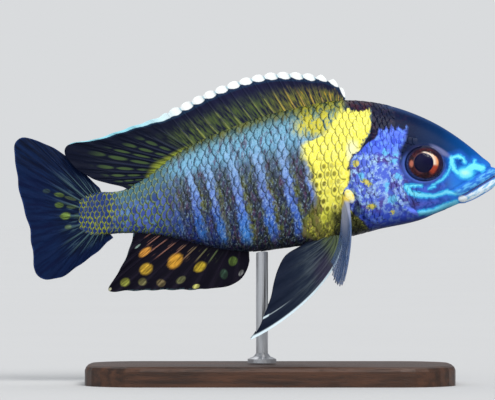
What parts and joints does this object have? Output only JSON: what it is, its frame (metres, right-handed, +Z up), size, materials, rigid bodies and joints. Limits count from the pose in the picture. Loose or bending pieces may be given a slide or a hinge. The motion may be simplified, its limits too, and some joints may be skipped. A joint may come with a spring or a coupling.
{
  "type": "peacock cichlid",
  "caption": "Life-size model of a male peacock cichlid swimming with its fins spread, held over a flat rounded base by one rod.",
  "frame": {"origin": "centre of the stand base's underside, at the level that the stand rests on", "axes": "+X towards the fish's snout, +Y towards its left side, +Z up"},
  "size_m": [0.121, 0.0476, 0.0783],
  "materials": {
    "head_skin": "wet skin, slate blue above and violet blue on the cheek",
    "jaw_skin": "wet skin, pale lip",
    "gill_cover_skin": "wet skin, violet blue",
    "trunk_skin": "scaled skin, blue bars behind a yellow collar",
    "stalk_skin": "scaled skin, blue with yellow-green scale edges",
    "eye": "wet and clear",
    "dorsal_fin": "thin membrane, white along the edge",
    "anal_fin": "thin dark membrane with yellow egg spots",
    "caudal_fin": "thin membrane, navy blue",
    "pelvic_fin": "thin membrane, dark with a white leading edge",
    "pectoral_fin": "thin membrane, smoky blue",
    "stand_wood": "dark, satin",
    "stand_steel": "brushed"
  },
  "bodies": {
    "root": {"head": "head_skin", "lower_jaw": "jaw_skin", "gill_cover_left": "gill_cover_skin", "gill_cover_right": "gill_cover_skin", "trunk": "trunk_skin", "tail_stalk": "stalk_skin", "eye_left": "eye", "eye_right": "eye", "dorsal_fin": "dorsal_fin", "anal_fin": "anal_fin", "caudal_fin": "caudal_fin", "pelvic_fin_left": "pelvic_fin", "pelvic_fin_right": "pelvic_fin", "pectoral_fin_left": "pectoral_fin", "pectoral_fin_right": "pectoral_fin", "stand_base": "stand_wood", "stand_rod": "stand_steel"}
  },
  "joints": []
}
